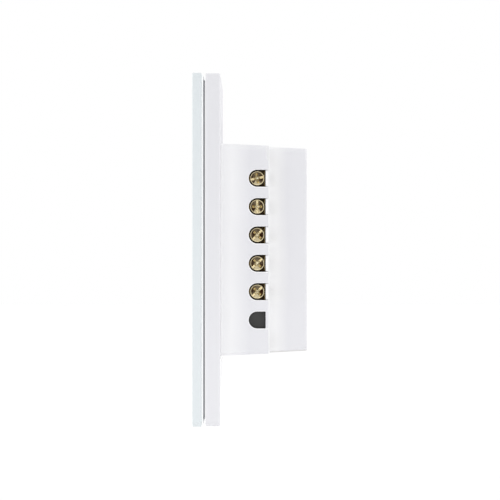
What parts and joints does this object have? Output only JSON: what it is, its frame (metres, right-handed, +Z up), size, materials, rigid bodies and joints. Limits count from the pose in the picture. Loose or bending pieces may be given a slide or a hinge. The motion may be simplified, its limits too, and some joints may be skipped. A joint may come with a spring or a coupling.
{
  "type": "smart touch switch",
  "caption": "Wall touch switch: glass front panel on a white frame, with a box of relays and a side row of brass screw terminals behind.",
  "frame": {"origin": "centre of the two wall-screw slots, in the plane of the wall (the frame's back face)", "axes": "+Z up along the panel's long side, +Y out of the back into the wall, +X towards the screw terminals"},
  "size_m": [0.074, 0.0395, 0.12],
  "materials": {
    "clear_glass": "polished, fine ground edge",
    "white_ink": "flat printed film",
    "foam_tape": "fine closed foam",
    "milky_film": "satin, translucent",
    "dark_plastic": "fine texture",
    "white_plastic": "moulded, satin gloss",
    "black_plastic": "moulded, fine texture",
    "brass": "turned, lightly worn",
    "plated_steel": "zinc plated",
    "spring_steel": "drawn wire",
    "white_board": "solder mask on glass fibre",
    "green_board": "solder mask on glass fibre",
    "led_resin": "clear resin",
    "tinned_pin": "tinned",
    "ferrite": "sintered, dull",
    "winding_tape": "polyester tape",
    "can_sleeve": "shrink sleeve on a can",
    "film_box": "moulded box",
    "blue_coating": "dipped coating",
    "green_coating": "dipped coating",
    "copper_wire": "enamelled wire",
    "relay_case": "moulded case",
    "soft_iron": "nickel plated",
    "shield_tin": "pressed tin plate"
  },
  "bodies": {
    "base": {"mounting_frame": "white_plastic", "flange_screws": "plated_steel", "terminal_housing": "white_plastic", "rear_cover": "white_plastic", "cover_screws": "plated_steel", "terminal_block": "black_plastic", "terminal_brackets": "brass", "touch_board": "white_board", "power_board": "green_board", "board_screws": "plated_steel", "indicator_leds": "led_resin", "header_socket": "black_plastic", "header_strip": "black_plastic", "header_pins": "tinned_pin", "transformer_core": "ferrite", "transformer_winding": "winding_tape", "transformer_bobbin": "black_plastic", "input_capacitor": "can_sleeve", "output_capacitor": "can_sleeve", "film_capacitor": "film_box", "varistor": "blue_coating", "fuse_resistor": "green_coating", "choke": "copper_wire", "bridge_rectifier": "black_plastic", "converter_chip": "black_plastic", "relay_drivers": "black_plastic", "touch_chip": "black_plastic", "wifi_module_board": "green_board", "wifi_shield_can": "shield_tin", "touch_spring_1": "spring_steel", "touch_spring_2": "spring_steel", "touch_spring_3": "spring_steel", "relay_1_cover": "relay_case", "relay_1_base": "black_plastic", "relay_1_magnet": "copper_wire", "relay_2_cover": "relay_case", "relay_2_base": "black_plastic", "relay_2_magnet": "copper_wire", "relay_3_cover": "relay_case", "relay_3_base": "black_plastic", "relay_3_magnet": "copper_wire"},
    "front_panel": {"glass_panel": "clear_glass", "printed_back": "white_ink", "adhesive_sheet": "foam_tape", "diffuser_discs": "milky_film", "panel_carrier": "dark_plastic"},
    "clamp_1": {"clamp_plate_1": "brass"},
    "clamp_2": {"clamp_plate_2": "brass"},
    "clamp_3": {"clamp_plate_3": "brass"},
    "clamp_4": {"clamp_plate_4": "brass"},
    "clamp_5": {"clamp_plate_5": "brass"},
    "screw_1": {"terminal_screw_1": "brass"},
    "screw_2": {"terminal_screw_2": "brass"},
    "screw_3": {"terminal_screw_3": "brass"},
    "screw_4": {"terminal_screw_4": "brass"},
    "screw_5": {"terminal_screw_5": "brass"},
    "armature_1": {"relay_1_armature": "soft_iron"},
    "armature_2": {"relay_2_armature": "soft_iron"},
    "armature_3": {"relay_3_armature": "soft_iron"}
  },
  "joints": [
    {"name": "front_panel_pull", "type": "slide", "parent": "base", "child": "front_panel", "axis": [0, -1, 0], "range_m": [0, 0.02]},
    {"name": "clamp_travel_1", "type": "slide", "parent": "base", "child": "clamp_1", "axis": [1, 0, 0], "range_m": [-0.0021, 0.0007]},
    {"name": "screw_turn_1", "type": "hinge", "parent": "clamp_1", "child": "screw_1", "pos_m": [0.0188, 0.0126, 0.0247], "axis": [1, 0, 0], "range_deg": [-1525, 515]},
    {"name": "clamp_travel_2", "type": "slide", "parent": "base", "child": "clamp_2", "axis": [1, 0, 0], "range_m": [-0.0021, 0.0007]},
    {"name": "screw_turn_2", "type": "hinge", "parent": "clamp_2", "child": "screw_2", "pos_m": [0.0188, 0.0126, 0.0149], "axis": [1, 0, 0], "range_deg": [-1525, 515]},
    {"name": "clamp_travel_3", "type": "slide", "parent": "base", "child": "clamp_3", "axis": [1, 0, 0], "range_m": [-0.0021, 0.0007]},
    {"name": "screw_turn_3", "type": "hinge", "parent": "clamp_3", "child": "screw_3", "pos_m": [0.0188, 0.0126, 0.0051], "axis": [1, 0, 0], "range_deg": [-1525, 515]},
    {"name": "clamp_travel_4", "type": "slide", "parent": "base", "child": "clamp_4", "axis": [1, 0, 0], "range_m": [-0.0021, 0.0007]},
    {"name": "screw_turn_4", "type": "hinge", "parent": "clamp_4", "child": "screw_4", "pos_m": [0.0188, 0.0126, -0.0047], "axis": [1, 0, 0], "range_deg": [-1525, 515]},
    {"name": "clamp_travel_5", "type": "slide", "parent": "base", "child": "clamp_5", "axis": [1, 0, 0], "range_m": [-0.0021, 0.0007]},
    {"name": "screw_turn_5", "type": "hinge", "parent": "clamp_5", "child": "screw_5", "pos_m": [0.0188, 0.0126, -0.0145], "axis": [1, 0, 0], "range_deg": [-1525, 515]},
    {"name": "relay_armature_1", "type": "hinge", "parent": "base", "child": "armature_1", "pos_m": [0.00924, 0.0193, 0.02524], "axis": [0, 0, 1], "range_deg": [0, 3.6], "stiffness_Nm_per_rad": 0.004, "springref_deg": -2.86},
    {"name": "relay_armature_2", "type": "hinge", "parent": "base", "child": "armature_2", "pos_m": [0.00924, 0.0193, 0.0127], "axis": [0, 0, 1], "range_deg": [0, 3.6], "stiffness_Nm_per_rad": 0.004, "springref_deg": -2.86},
    {"name": "relay_armature_3", "type": "hinge", "parent": "base", "child": "armature_3", "pos_m": [0.00924, 0.0193, 0.00015], "axis": [0, 0, 1], "range_deg": [0, 3.6], "stiffness_Nm_per_rad": 0.004, "springref_deg": -2.86}
  ],
  "couplings": [
    {"joint": "screw_turn_1", "follows": "clamp_travel_1", "rad_per_m": 12566},
    {"joint": "screw_turn_2", "follows": "clamp_travel_2", "rad_per_m": 12566},
    {"joint": "screw_turn_3", "follows": "clamp_travel_3", "rad_per_m": 12566},
    {"joint": "screw_turn_4", "follows": "clamp_travel_4", "rad_per_m": 12566},
    {"joint": "screw_turn_5", "follows": "clamp_travel_5", "rad_per_m": 12566}
  ]
}
